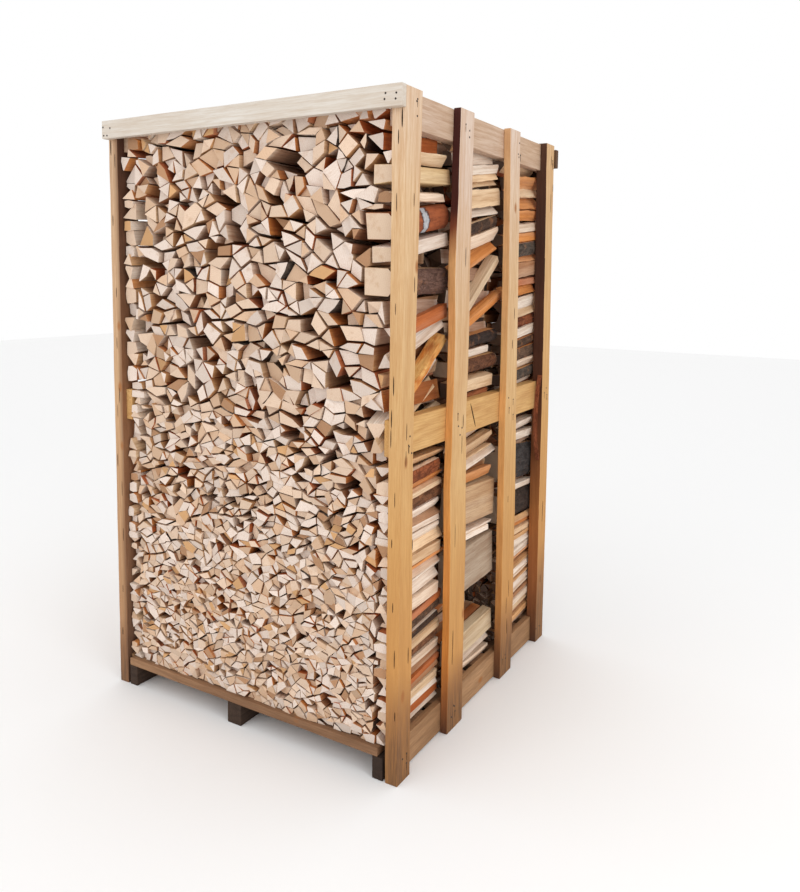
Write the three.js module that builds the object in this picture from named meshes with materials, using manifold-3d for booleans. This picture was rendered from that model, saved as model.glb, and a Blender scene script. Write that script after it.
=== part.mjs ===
// A firewood crate: a timber pallet base with slatted side walls, filled with
// three rows of split firewood that lie front to back.
//
// Millimetres. +X right, +Y to the back, +Z up. The origin is on the ground,
// under the centre of the crate's outer box.

import * as THREE from 'three';
import { mergeVertices } from 'three/addons/utils/BufferGeometryUtils.js';
import Module from 'manifold-3d';

// ---------- driving dimensions ----------

const GAP = 0.3;                  // between pieces that touch

const HALF_WIDTH = 575;           // middle of the crate to the posts' outer faces
const HEIGHT = 1948;              // top of the posts
const FRONT = -562.5;             // the front posts' front faces
const DEPTH = 1150;               // front posts' front faces to back posts' back faces

const SLAT = 25;                  // thickness of the posts in the middle of a wall
const CORNER = 40;                // thickness of the corner posts
const RAIL = 40;                  // thickness of the two upper rails
const BASE_RAIL = 24;             // thickness of the lowest rail
const RAIL_SPANS = {              // bottom edge, top edge, front end and back end of each rail
  base: [5, 100, 18, DEPTH - 20],
  middle: [946, 1050, 18, DEPTH - 30],
  top: [1850, 1945, 30, DEPTH - 52],
};

const SKID_HEIGHT = 69;
const SKID_WIDTH = 35;            // the two outer skids
const MIDDLE_SKID = [-67, -10];   // the middle one sits a little left of centre
const DECK = 26;                  // deck board thickness
const DECK_BOARDS = 8;
const DECK_BOARD_WIDTH = 98;
const FRONT_BOARD_END = 508;      // the front deck board is cut short on the right

const BEAM = 24.7;                // thickness of the two cross beams at the top
const BEAM_OVERHANG = 4;          // past the posts' outer faces
const FRONT_BEAM_SPAN = [1889, 1947];
const BACK_BEAM_SPAN = [1866, 1934];

const ROWS = 3;                   // rows of wood, one behind the other
const ROW_PITCH = 383;
const ROW_START = 12;             // the front row sits back from the posts' faces
const ROW_DEPTH = 340;            // a split is about 330 long
const STACK_TOP = 1902;

// ---------- finishes ----------

const finish = (color, roughness = 0.75) => ({ color, roughness, metalness: 0 });
const FINISHES = {
  post: finish(0xd6a866),
  rail: finish(0xcfae7c),
  beam: finish(0xe2d3b8),
  base: finish(0x8a684a, 0.85),
  skid: finish(0x4a392d, 0.9),
  firewood: finish(0xdfc4a2, 0.85),
  split: finish(0xd9b98d, 0.8),
  bark: finish(0x57473c, 0.95),
};

// ---------- helpers ----------

const wasm = await Module();
wasm.setup();

const crate = new THREE.Group();

function add(name, geometry, finishName, position = [0, 0, 0]) {
  const mesh = new THREE.Mesh(geometry, new THREE.MeshStandardMaterial(FINISHES[finishName]));
  mesh.name = name;
  mesh.position.set(...position);
  crate.add(mesh);
}

// A sawn board between two corners; y counts from the front posts' faces.
function board(name, finishName, [x0, x1], [y0, y1], [z0, z1]) {
  const geometry = new THREE.BoxGeometry(x1 - x0, y1 - y0, z1 - z0);
  const centre = [(x0 + x1) / 2, FRONT + (y0 + y1) / 2, (z0 + z1) / 2];
  add(name, geometry, finishName, centre);
}

function toSolid(geometry) {
  const bare = geometry.clone();
  bare.deleteAttribute('normal');
  bare.deleteAttribute('uv');
  const merged = mergeVertices(bare);
  return new wasm.Manifold(new wasm.Mesh({
    numProp: 3,
    vertProperties: new Float32Array(merged.attributes.position.array),
    triVerts: new Uint32Array(merged.index.array),
  }));
}

function toGeometry(solid) {
  const mesh = solid.getMesh();
  const geometry = new THREE.BufferGeometry();
  geometry.setAttribute('position', new THREE.BufferAttribute(mesh.vertProperties, 3));
  geometry.setIndex(new THREE.BufferAttribute(mesh.triVerts, 1));
  geometry.computeVertexNormals();
  return geometry;
}

// A box as bare geometry in the crate's frame, for cutting.
function cutter([x0, x1], [y0, y1], [z0, z1]) {
  const geometry = new THREE.BoxGeometry(x1 - x0, y1 - y0, z1 - z0);
  return geometry.translate((x0 + x1) / 2, FRONT + (y0 + y1) / 2, (z0 + z1) / 2);
}

function cut(geometry, cutters) {
  let solid = toSolid(geometry);
  for (const tool of cutters) {
    solid = solid.subtract(toSolid(tool));
  }
  return toGeometry(solid);
}

// A mirrored span for the left wall, the same span for the right one.
const sided = (side, [a, b]) => (side > 0 ? [a, b] : [-b, -a]);
const WALLS = [['right', 1], ['left', -1]];

// ---------- base: skids and deck ----------

const railOuter = HALF_WIDTH - SLAT - GAP;
const baseRailInner = railOuter - BASE_RAIL;
const skidOuter = baseRailInner - GAP;
const deckEnd = baseRailInner - GAP;
const deckTop = SKID_HEIGHT + GAP + DECK;

board('skid_middle', 'skid', MIDDLE_SKID, [0, DEPTH], [0, SKID_HEIGHT]);
for (const [label, side] of WALLS) {
  const span = sided(side, [skidOuter - SKID_WIDTH, skidOuter]);
  board(`skid_${label}`, 'skid', span, [0, DEPTH], [0, SKID_HEIGHT]);
}

const deckPitch = (DEPTH - DECK_BOARD_WIDTH) / (DECK_BOARDS - 1);
for (let i = 0; i < DECK_BOARDS; i++) {
  const right = i === 0 ? FRONT_BOARD_END : deckEnd;
  const y = i * deckPitch;
  board(`deck_board_${i + 1}`, 'base', [-deckEnd, right], [y, y + DECK_BOARD_WIDTH],
    [SKID_HEIGHT + GAP, deckTop]);
}

// ---------- side walls: rails and posts ----------

function railThickness(level) {
  return level === 'base' ? BASE_RAIL : RAIL;
}

for (const [label, side] of WALLS) {
  for (const [level, [z0, z1, start, end]] of Object.entries(RAIL_SPANS)) {
    const span = sided(side, [railOuter - railThickness(level), railOuter]);
    board(`rail_${level}_${label}`, level === 'base' ? 'base' : 'rail', span, [start, end], [z0, z1]);
  }
}

// Each post is a flat outline in Y and Z, extruded through its thickness. The
// edges wander a little, as on slats sawn close to the bark: each entry is a
// height, then the front edge and the back edge there.
const POST_EDGES = {
  1: [[0, 0, 72], [450, 0, 76], [850, 0, 68], [1100, 0, 68], [1500, 0, 80], [HEIGHT, 0, 92]],
  2: [[0, 309, 416], [350, 311, 416], [600, 310, 418], [800, 300, 410], [1030, 311, 403],
    [1270, 314, 412], [1450, 307, 408], [1700, 318, 412], [HEIGHT, 325, 418]],
  3: [[0, 724, 824], [250, 721, 829], [700, 716, 823], [960, 713, 812], [1240, 715, 805],
    [1640, 710, 793], [HEIGHT, 698, 784]],
  4: [[0, 1074, DEPTH], [600, 1070, DEPTH - 2], [920, 1068, DEPTH - 6], [1220, 1062, DEPTH - 14],
    [1560, 1055, DEPTH - 24], [HEIGHT, 1040, DEPTH - 32]],
};
const POST_NAMES = { 1: 'front', 2: 'second', 3: 'third', 4: 'back' };

function postOutline(edges) {
  const frontEdge = edges.map(([z, y]) => new THREE.Vector2(FRONT + y, z));
  const backEdge = edges.map(([z, , y]) => new THREE.Vector2(FRONT + y, z)).reverse();
  return new THREE.Shape([...backEdge, ...frontEdge]);
}

// Stands an outline drawn in Y and Z upright, with its thickness along X from x0.
function standUp(geometry, x0) {
  const turn = new THREE.Matrix4().makeBasis(
    new THREE.Vector3(0, 1, 0), new THREE.Vector3(0, 0, 1), new THREE.Vector3(1, 0, 0));
  return geometry.applyMatrix4(turn).translate(x0, 0, 0);
}

for (const [label, side] of WALLS) {
  for (const [index, edges] of Object.entries(POST_EDGES)) {
    const isCorner = index === '1' || index === '4';
    const thickness = isCorner ? CORNER : SLAT;
    const [x0] = sided(side, [HALF_WIDTH - thickness, HALF_WIDTH]);
    const outline = postOutline(edges);
    const slab = new THREE.ExtrudeGeometry(outline, { depth: thickness, bevelEnabled: false });
    let geometry = standUp(slab, x0);
    if (isCorner) {
      // A corner post is thicker, so it is housed over the ends of the three rails.
      const notches = Object.values(RAIL_SPANS).map(([z0, z1, start, end]) => cutter(
        sided(side, [HALF_WIDTH - CORNER - 10, railOuter + GAP]),
        [start - GAP, end + GAP],
        [z0 - GAP, z1 + GAP]));
      geometry = cut(geometry, notches);
    }
    add(`post_${POST_NAMES[index]}_${label}`, geometry, 'post');
  }
}

// ---------- cross beams at the top ----------

const beamHalf = HALF_WIDTH + BEAM_OVERHANG;
board('beam_front', 'beam', [-beamHalf, beamHalf], [-GAP - BEAM, -GAP], FRONT_BEAM_SPAN);

// The back posts lean forward at the top, and the beam is nailed to their back
// faces at that height. It is a little longer than the front one.
const backBeamY = DEPTH - 30;
const backBeamHalf = beamHalf + 4;
board('beam_back', 'base', [-backBeamHalf, backBeamHalf], [backBeamY, backBeamY + BEAM], BACK_BEAM_SPAN);

// ---------- bark slabs that stand upright in the two back corners ----------

// They close the corners between the last row's ends and the back posts.
const SLAB_SECTION = [             // seen from above, in the right corner
  [418, 1121], [519, 1121], [522, 1126], [514, 1139], [474, 1143.5], [426, 1140],
];
for (const [label, side] of WALLS) {
  const corners = SLAB_SECTION.map(([x, y]) => new THREE.Vector2(side * x, FRONT + y));
  const outline = new THREE.Shape(side > 0 ? corners : corners.reverse());
  const bottom = deckTop + GAP;
  const slab = new THREE.ExtrudeGeometry(outline,
    { depth: BACK_BEAM_SPAN[0] - GAP - bottom, bevelEnabled: false });
  add(`slab_back_${label}`, slab.translate(0, 0, bottom), 'bark');
}

// ---------- single splits that stand out in the right side of the stack ----------

// Cross-sections of split wood, in units of half its width and half its height.
const SECTIONS = {
  wedge: [[-1, -0.9], [1, -0.55], [1, 0.6], [-0.6, 1]],
  slab: [[-1, -1], [1, -0.8], [0.9, 0.9], [-0.9, 1]],
  half_round: [[-1, -0.9], [0.62, -1], [0.92, -0.62], [1, 0], [0.93, 0.56], [0.64, 0.95], [-1, 1]],
};
// Row, section, middle (distance behind the row's middle, height), size (width,
// height, length), slope in degrees (up towards the back), finish.
const SINGLES = {
  split_pale_top: [0, 'slab', [0, 1735], [70, 54, 326], 4, 'split'],
  split_peeling_bark: [0, 'half_round', [0, 1608], [92, 78, 326], 9, 'bark'],
  split_broad_cream: [0, 'slab', [0, 1534], [76, 46, 322], 10, 'split'],
  round_dark_bark: [0, 'half_round', [0, 1434], [96, 82, 326], 1, 'bark'],
  split_orange_alder: [0, 'wedge', [26, 1168], [50, 48, 320], 36, 'split'],
  split_crossing: [1, 'wedge', [24, 1418], [48, 44, 320], 36, 'split'],
  split_black_bark: [1, 'half_round', [0, 1240], [70, 46, 326], 4, 'bark'],
  split_brown_bark: [1, 'half_round', [0, 1158], [80, 54, 330], 2, 'bark'],
  split_wide_tan: [1, 'slab', [0, 682], [48, 150, 330], -4, 'split'],
  split_wide_grey: [1, 'slab', [0, 466], [52, 176, 330], 1, 'bark'],
  board_offcut: [1, 'slab', [0, 214], [38, 86, 330], 2, 'split'],
  round_charcoal_bark: [2, 'half_round', [0, 756], [90, 142, 322], -6, 'bark'],
  round_rough_bark: [2, 'half_round', [0, 592], [88, 108, 322], -4, 'bark'],
};
const SINGLE_FACE = 534;          // how far out from the middle their faces reach

function splitSolid([row, section, [behind, z], [width, height, length], slope], grow = 0) {
  const points = SECTIONS[section].map(([x, y]) => new THREE.Vector2(
    x * (width / 2 + grow), y * (height / 2 + grow)));
  const geometry = new THREE.ExtrudeGeometry(new THREE.Shape(points),
    { depth: length + 2 * grow, bevelEnabled: false });
  geometry.translate(0, 0, -length / 2 - grow);
  // The section is drawn in X and Y: lay the length along Y, then slope it.
  geometry.applyMatrix4(new THREE.Matrix4().makeRotationX(Math.PI / 2));
  geometry.applyMatrix4(new THREE.Matrix4().makeRotationX(THREE.MathUtils.degToRad(slope)));
  const y = FRONT + ROW_START + row * ROW_PITCH + ROW_DEPTH / 2 + behind;
  return geometry.translate(SINGLE_FACE - width / 2, y, z);
}

for (const [name, single] of Object.entries(SINGLES)) {
  add(name, splitSolid(single), single[5]);
}

// ---------- the stacked wood ----------

// Each row is filled in two lifts, below and above the middle rail. A lift is
// the outer shape of its splits: it reaches out to the posts and steps in
// beside the rails.
const stackOuter = HALF_WIDTH - CORNER - 2;
const besideRail = railOuter - RAIL - GAP;
const lift = {
  lower: [
    [besideRail, deckTop + GAP], [stackOuter - 8, deckTop + 10], [stackOuter, 120],
    [stackOuter, RAIL_SPANS.middle[0] - 4], [besideRail, RAIL_SPANS.middle[0] - 4], [besideRail, 998],
  ],
  upper: [
    [besideRail, 998 + GAP], [besideRail, RAIL_SPANS.middle[1] + 4], [stackOuter, RAIL_SPANS.middle[1] + 4],
    [stackOuter, RAIL_SPANS.top[0] - 4], [besideRail, RAIL_SPANS.top[0] - 4], [besideRail, STACK_TOP],
  ],
};
const ROW_NAMES = ['front', 'middle', 'back'];
const PARTING = 1;                // left free around each single split

for (let row = 0; row < ROWS; row++) {
  for (const [level, halfOutline] of Object.entries(lift)) {
    const right = halfOutline.map(([x, z]) => new THREE.Vector2(x, z));
    const left = halfOutline.map(([x, z]) => new THREE.Vector2(-x, z)).reverse();
    const geometry = new THREE.ExtrudeGeometry(new THREE.Shape([...right, ...left]),
      { depth: ROW_DEPTH, bevelEnabled: false });
    // The outline is drawn in X and Z, so it is laid back to run along Y.
    geometry.applyMatrix4(new THREE.Matrix4().makeRotationX(Math.PI / 2));
    const y = FRONT + ROW_START + row * ROW_PITCH + ROW_DEPTH;
    geometry.translate(0, y, 0);
    const inThisRow = Object.values(SINGLES).filter((single) => single[0] === row);
    add(`firewood_${ROW_NAMES[row]}_${level}`,
      cut(geometry, inThisRow.map((single) => splitSolid(single, PARTING))), 'firewood');
  }
}

export default crate;
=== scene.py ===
# %% [markdown]
# # A crate of split firewood
#
# The object is a tall timber crate on a pallet base. Its front is open, and it is packed with
# firewood in three rows, one behind the other. Every split lies front to back, so the front shows
# sawn ends and the walls show long split faces and bark.
#
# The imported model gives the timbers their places. This script gives them their surfaces, and
# fills the space between them with wood, piece by piece.

import math

import bmesh
import bpy
import numpy as np
from mathutils import Matrix, Vector, noise
from mathutils.geometry import delaunay_2d_cdt


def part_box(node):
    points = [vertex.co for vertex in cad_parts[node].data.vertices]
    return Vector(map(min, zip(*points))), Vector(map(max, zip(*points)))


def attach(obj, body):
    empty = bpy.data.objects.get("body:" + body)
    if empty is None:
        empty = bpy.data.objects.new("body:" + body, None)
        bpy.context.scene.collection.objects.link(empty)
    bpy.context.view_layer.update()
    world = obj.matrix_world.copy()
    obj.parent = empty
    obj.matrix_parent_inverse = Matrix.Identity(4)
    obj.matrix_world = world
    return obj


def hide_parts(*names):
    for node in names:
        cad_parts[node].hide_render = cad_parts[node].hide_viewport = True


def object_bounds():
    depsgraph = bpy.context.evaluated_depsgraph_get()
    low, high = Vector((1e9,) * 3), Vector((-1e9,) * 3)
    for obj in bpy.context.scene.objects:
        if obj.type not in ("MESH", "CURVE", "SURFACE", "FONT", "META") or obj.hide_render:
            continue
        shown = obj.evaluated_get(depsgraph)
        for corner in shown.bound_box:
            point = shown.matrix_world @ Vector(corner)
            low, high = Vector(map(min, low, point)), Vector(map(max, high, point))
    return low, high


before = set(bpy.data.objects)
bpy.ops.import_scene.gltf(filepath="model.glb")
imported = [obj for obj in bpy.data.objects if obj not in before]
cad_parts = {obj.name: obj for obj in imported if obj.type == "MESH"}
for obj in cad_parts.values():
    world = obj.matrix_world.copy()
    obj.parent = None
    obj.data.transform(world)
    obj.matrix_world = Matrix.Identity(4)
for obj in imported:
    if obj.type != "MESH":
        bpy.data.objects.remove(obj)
CAD_BOX = [list(corner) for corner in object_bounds()]
MM = 0.001
print("the crate measures", [round(b - a, 3) for a, b in zip(*CAD_BOX)])

# %% [markdown]
# ## Camera
#
# The view is a little above the middle of the crate, from its front right corner. The lens looks
# slightly down, so the uprights draw together towards the ground. The frame is shifted a little
# instead of tilting the camera further, which is how a tall thing is usually photographed.

# %% Camera
EYE = Vector((1.665, -2.410, 1.449))
HEADING = math.radians(30.7)      # turned left from straight ahead
PITCH = math.radians(-5.62)
ROLL = math.radians(0.72)
LENS = 32.29                      # millimetres, on a frame 36 mm wide
RISE = -0.1024                    # of the frame's width

forward = Vector((-math.sin(HEADING) * math.cos(PITCH),
                  math.cos(HEADING) * math.cos(PITCH),
                  math.sin(PITCH)))
right = Vector((math.cos(HEADING), math.sin(HEADING), 0))
up = right.cross(forward)
right_rolled = right * math.cos(ROLL) + up * math.sin(ROLL)
up_rolled = up * math.cos(ROLL) - right * math.sin(ROLL)

camera = bpy.data.objects.new("camera", bpy.data.cameras.new("camera"))
camera.data.lens = LENS
camera.data.sensor_width = 36
camera.data.shift_y = RISE
facing = Matrix((right_rolled, up_rolled, -forward)).transposed().to_4x4()
camera.matrix_world = Matrix.Translation(EYE) @ facing
bpy.context.scene.collection.objects.link(camera)
bpy.context.scene.camera = camera
print("the camera stands", round(EYE.xy.length, 2), "m from the crate's middle")

# %% [markdown]
# ## Room
#
# A white floor and an even, pale sky stand for an overcast day. One large soft lamp ahead of the
# open front and a second one off the front right corner model the sawn ends and the long splits,
# and leave the gaps between them dark.

# %% Floor and sky
FLOOR_REACH = 14                  # metres, from the middle to each edge
scene = bpy.context.scene
scene.view_settings.view_transform = "Standard"

sky = bpy.data.worlds.new("sky")
sky.use_nodes = True
sky.node_tree.nodes["Background"].inputs["Color"].default_value = (1.0, 1.0, 1.0, 1)
sky.node_tree.nodes["Background"].inputs["Strength"].default_value = 1.0
scene.world = sky

floor_mesh = bmesh.new()
bmesh.ops.create_grid(floor_mesh, x_segments=1, y_segments=1, size=FLOOR_REACH)
floor_data = bpy.data.meshes.new("floor")
floor_mesh.to_mesh(floor_data)
floor_mesh.free()
floor = bpy.data.objects.new("floor", floor_data)
scene.collection.objects.link(floor)

floor_paint = bpy.data.materials.new("floor_paint")
floor_paint.use_nodes = True
paint = floor_paint.node_tree.nodes["Principled BSDF"].inputs
paint["Base Color"].default_value = (0.93, 0.93, 0.93, 1)
paint["Roughness"].default_value = 0.9
floor_data.materials.append(floor_paint)


# %% Lamps
def lamp(name, place, target, size, power):
    """A large soft lamp at a place, turned to its target."""
    light = bpy.data.lights.new(name, "AREA")
    light.size = size
    light.energy = power
    thing = bpy.data.objects.new(name, light)
    toward = Vector(target) - Vector(place)
    thing.matrix_world = Matrix.Translation(place) @ toward.to_track_quat("-Z", "Y").to_matrix().to_4x4()
    scene.collection.objects.link(thing)


lamp("front_lamp", (-0.9, -4.6, 2.7), (0, 0, 0.8), 3.0, 30)
lamp("wall_lamp", (4.2, -2.2, 2.6), (0.4, 0, 0.9), 2.4, 42)
print("a floor, a sky and", len(bpy.data.lights), "lamps")

# %% [markdown]
# ## Finishes
#
# Wood is one material cut in different directions, so every finish here starts from the same idea:
# noise that is stretched along the grain. Each finish is a short list of shader nodes, and the
# helper below only makes such a list quick to read.


# %% Shader node helper
class Finish:
    """A node material, built by naming one node after another."""

    def __init__(self, name):
        self.material = bpy.data.materials.new(name)
        self.material.use_nodes = True
        self.tree = self.material.node_tree
        self.shader = self.tree.nodes["Principled BSDF"]
        self.shader.inputs["Specular IOR Level"].default_value = 0.25

    def node(self, kind, settings, **inputs):
        made = self.tree.nodes.new("ShaderNode" + kind)
        for key, value in settings.items():
            setattr(made, key, value)
        for key, value in inputs.items():
            self.feed(made.inputs[key.replace("_", " ")], value)
        return made

    def feed(self, socket, value):
        if isinstance(value, bpy.types.NodeSocket):
            self.tree.links.new(value, socket)
        else:
            socket.default_value = value

    def place(self, stretch=(1, 1, 1), start=(0, 0, 0)):
        """Object coordinates, squeezed by a factor along each axis."""
        where = self.node("TexCoord", {}).outputs["Object"]
        return self.node("Mapping", {}, Vector=where, Scale=stretch, Location=start).outputs["Vector"]

    def squeeze(self, vector, stretch):
        return self.node("Mapping", {}, Vector=vector, Scale=stretch).outputs["Vector"]

    def attribute(self, name, output="Fac"):
        return self.node("Attribute", {"attribute_name": name}).outputs[output]

    def noise(self, vector, scale, detail=2.0, roughness=0.5, distortion=0.0):
        return self.node("TexNoise", {}, Vector=vector, Scale=scale, Detail=detail, Roughness=roughness,
                         Distortion=distortion).outputs["Fac"]

    def cells(self, vector, scale, feature="F1", output="Distance"):
        return self.node("TexVoronoi", {"feature": feature}, Vector=vector, Scale=scale).outputs[output]

    def ramp(self, amount, stops):
        """A colour ramp. A stop is a position and a colour, or a position and a grey."""
        made = self.node("ValToRGB", {}, Fac=amount)
        band = made.color_ramp
        band.interpolation = "LINEAR"
        while len(band.elements) < len(stops):
            band.elements.new(0.5)
        for element, (position, colour) in zip(band.elements, stops):
            element.position = position
            element.color = (*colour, 1) if hasattr(colour, "__len__") else (colour, colour, colour, 1)
        return made.outputs["Color"]

    def mix(self, amount, first, second, blend="MIX"):
        made = self.tree.nodes.new("ShaderNodeMix")
        made.data_type = "RGBA"
        made.blend_type = blend
        self.feed(made.inputs["Factor"], amount)
        for socket, value in ((made.inputs["A"], first), (made.inputs["B"], second)):
            self.feed(socket, (*value, 1) if isinstance(value, tuple) else value)
        return made.outputs["Result"]

    def sum(self, operation, first, second=0.0):
        made = self.node("Math", {"operation": operation})
        self.feed(made.inputs[0], first)
        self.feed(made.inputs[1], second)
        return made.outputs[0]

    def bump(self, height, strength, distance, under=None):
        made = self.node("Bump", {}, Height=height, Strength=strength, Distance=distance)
        if under is not None:
            self.tree.links.new(under, made.inputs["Normal"])
        return made.outputs["Normal"]

    def done(self, colour, roughness, normal):
        self.feed(self.shader.inputs["Base Color"], colour)
        self.feed(self.shader.inputs["Roughness"], roughness)
        self.feed(self.shader.inputs["Normal"], normal)
        return self.material


def shade(red, green, blue):
    """A colour given as 0 to 255 values on a screen, as the linear light that shaders use."""
    return tuple(((c / 255 + 0.055) / 1.055) ** 2.4 if c > 10 else c / 255 / 12.92
                 for c in (red, green, blue))


# %% [markdown]
# ### Sawn timber
#
# The crate's own boards are rough-sawn softwood. Growth rings show as long contour lines, because a
# plain-sawn board cuts them at a slant: the height lines of a very stretched noise have that shape.
# Finer noise gives the fibres, sparse cells give the knots, and cross marks give the saw.


# %% Sawn timber finish
GRAIN_STRETCH = 0.045             # a feature's width, as a share of its length
RING_LINES = 34                   # growth rings between a low and a high of the noise


def along(axis, value, across=1.0):
    """A triple that holds one value along the grain's axis and another across it."""
    return tuple(value if name == axis else across for name in "XYZ")


def sawn_timber(name, axis, body, ring, knot=shade(158, 100, 52), roughness=0.72, ring_depth=0.3):
    """body(finish) gives the board's ground colour; ring is what the growth rings turn it into. With no
    ring colour the rings are a deeper shade of the ground, whatever that is."""
    finish = Finish(name)
    shift = finish.attribute("lot", "Vector")
    place = finish.node("VectorMath", {"operation": "ADD"})
    finish.feed(place.inputs[0], finish.place())
    finish.feed(place.inputs[1], shift)
    place = place.outputs[0]
    long_grain = finish.squeeze(place, along(axis, GRAIN_STRETCH))

    contour = finish.noise(long_grain, 6, 1.5, 0.4, 0.3)
    rings = finish.sum("PINGPONG", finish.sum("MULTIPLY", contour, RING_LINES), 1.0)
    fibres = finish.noise(long_grain, 260, 3, 0.7)
    blotches = finish.noise(finish.squeeze(place, along(axis, 0.25)), 9, 3, 0.6)
    spots = finish.cells(finish.squeeze(place, along(axis, 0.55)), 8)
    knots = finish.ramp(spots, [(0.0, 0.95), (0.05, 0.8), (0.1, 0.0)])

    ground = body(finish, place)
    if ring is None:
        ring = finish.mix(1.0, ground, (0.62, 0.5, 0.42), "MULTIPLY")
    line = finish.ramp(rings, [(0.35, 0.0), (1.0, 1.0)])
    lined = finish.mix(finish.sum("MULTIPLY", line, ring_depth), ground, ring)
    streaked = finish.mix(finish.ramp(fibres, [(0.3, 0.55), (0.62, 0.0)]), lined, ring)
    blotched = finish.mix(finish.ramp(blotches, [(0.3, 0.22), (0.6, 0.0)]), streaked, ring)
    colour = finish.mix(knots, blotched, knot)

    saw = finish.node("TexWave", {"bands_direction": axis}, Vector=place, Scale=95, Distortion=1.5,
                      Detail=1.0, Detail_Scale=3.0).outputs["Fac"]
    normal = finish.bump(fibres, 0.35, 0.0016)
    normal = finish.bump(saw, 0.08, 0.0006, normal)
    normal = finish.bump(blotches, 0.3, 0.003, normal)
    return finish.done(colour, roughness, normal)


# %% [markdown]
# The posts have weathered by height: pale and pinkish at the top, honey yellow in the middle, and
# soiled brown at the foot where they stand on wet ground. So their ground colour is a ramp over
# height, and the edge of each zone is broken by noise.


# %% Ground colours of the boards
POST_ZONES = [
    (0.000, shade(88, 62, 44)), (0.055, shade(108, 75, 51)), (0.095, shade(144, 100, 62)),
    (0.150, shade(201, 147, 84)), (0.320, shade(206, 158, 97)), (0.520, shade(214, 177, 125)),
    (0.760, shade(218, 188, 150)), (0.900, shade(219, 196, 172)), (1.000, shade(219, 202, 188)),
]
CRATE_HEIGHT = CAD_BOX[1][2]


def by_height(zones, waver=0.05):
    """A ground colour for each height. The attribute age shifts a post's zones up or down."""
    def body(finish, place):
        height = finish.node("SeparateXYZ", {}, Vector=finish.place()).outputs["Z"]
        level = finish.sum("DIVIDE", height, CRATE_HEIGHT)
        age = finish.attribute("age")
        broken = finish.noise(finish.squeeze(place, (14, 14, 2)), 1.0, 3, 0.6)
        wander = finish.sum("MULTIPLY", broken, waver)
        aged = finish.sum("MULTIPLY", level, finish.sum("ADD", age, 1.0))
        level = finish.sum("ADD", aged, finish.sum("SUBTRACT", wander, waver * 0.5))
        return finish.ramp(level, zones)
    return body


def plain(first, second):
    """A ground colour that drifts between two."""
    def body(finish, place):
        drift = finish.ramp(finish.noise(place, 2.5, 2), [(0.35, 0.0), (0.65, 1.0)])
        return finish.mix(drift, first, second)
    return body


# %% [markdown]
# The rails and boards are each one colour from end to end. The top rails are pale, the middle ones
# golden, and the front beam is the palest, as it is the newest wood. The base, the deck and the back
# beam are weathered brown, and the skids on the wet ground are nearly black.

# %% Finishes of the boards
POST = sawn_timber("post_timber", "Z", by_height(POST_ZONES), shade(176, 122, 66))
RAIL = sawn_timber("rail_timber", "Y", plain(shade(206, 182, 162), shade(198, 168, 140)),
                   shade(160, 120, 88))
RAIL_GOLDEN = sawn_timber("golden_rail_timber", "Y", plain(shade(218, 178, 120), shade(206, 160, 98)),
                          shade(168, 114, 60))
BEAM = sawn_timber("beam_timber", "X", plain(shade(217, 212, 204), shade(208, 198, 186)),
                   shade(186, 166, 144), ring_depth=0.25)
BASE = sawn_timber("base_timber", "Y", plain(shade(188, 146, 106), shade(156, 116, 80)),
                   shade(108, 76, 50), roughness=0.85)
DECK = sawn_timber("deck_timber", "X", plain(shade(172, 132, 98), shade(142, 106, 78)),
                   shade(96, 66, 44), roughness=0.85)
DARK_BEAM = sawn_timber("dark_beam_timber", "X", plain(shade(120, 88, 62), shade(92, 66, 48)),
                        shade(60, 42, 30), roughness=0.85)
SKID = sawn_timber("skid_timber", "Y", plain(shade(74, 57, 46), shade(56, 42, 34)),
                   shade(30, 22, 18), roughness=0.9)
print("8 sawn timber finishes")

# %% [markdown]
# Some posts were sawn close to the bark, and one edge still shows the outside of the log. On the
# middle posts that is the front edge: orange-brown wood, and at the top of the second post a strip
# of dark red inner bark. The back right post is dark brown down most of its front edge. The front
# left post gets the same kind of finish on the side that faces the wood, but there it is painted
# shade: a dark brown for the shade between the post and the wood.


# %% Waney edges, and a side with painted shade
BARK_EDGE_AND_SHADE_ZONES = {
    "second": [(0.0, shade(92, 60, 42)), (0.06, shade(160, 102, 58)), (0.16, shade(222, 146, 70)),
               (0.5, shade(236, 172, 98)), (0.86, shade(234, 180, 120)), (0.92, shade(132, 72, 46)),
               (0.95, shade(78, 36, 27)), (1.0, shade(70, 32, 27))],
    "third": [(0.0, shade(92, 62, 44)), (0.06, shade(140, 94, 58)), (0.14, shade(206, 144, 80)),
              (0.5, shade(238, 182, 114)), (0.8, shade(234, 188, 134)), (1.0, shade(212, 168, 124))],
    "back_right": [(0.0, shade(84, 58, 42)), (0.09, shade(158, 100, 58)), (0.2, shade(170, 110, 60)),
                   (0.27, shade(132, 80, 46)), (0.36, shade(84, 48, 30)), (0.58, shade(70, 46, 36)),
                   (1.0, shade(116, 78, 54))],
    # The front left post's side next to the wood: painted shade, dark brown for the shade there.
    "front_left": [(0.0, shade(84, 60, 46)), (0.2, shade(140, 104, 78)), (0.5, shade(150, 108, 76)),
                   (0.75, shade(104, 72, 52)), (1.0, shade(80, 52, 38))],
}
FORWARD, BACKWARD, RIGHTWARD = (0, -1, 0), (0, 1, 0), (1, 0, 0)
BARK_EDGE_AND_SHADE_SIDES = {"second": FORWARD, "third": FORWARD, "back_right": FORWARD, "front_left": RIGHTWARD}
BARK_EDGES_AND_SHADE = {}
for label, zones in BARK_EDGE_AND_SHADE_ZONES.items():
    BARK_EDGES_AND_SHADE[label] = sawn_timber(f"bark_edge_and_shade_{label}", "Z", by_height(zones, 0.06), None,
                               shade(88, 54, 36), 0.85)
print(len(BARK_EDGES_AND_SHADE), "waney edge finishes")

# %% [markdown]
# The front left post stands in the shade of the others, so its colours are painted darker for that
# shade, and painted shade also darkens its inner arris, next to the wood.


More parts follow.
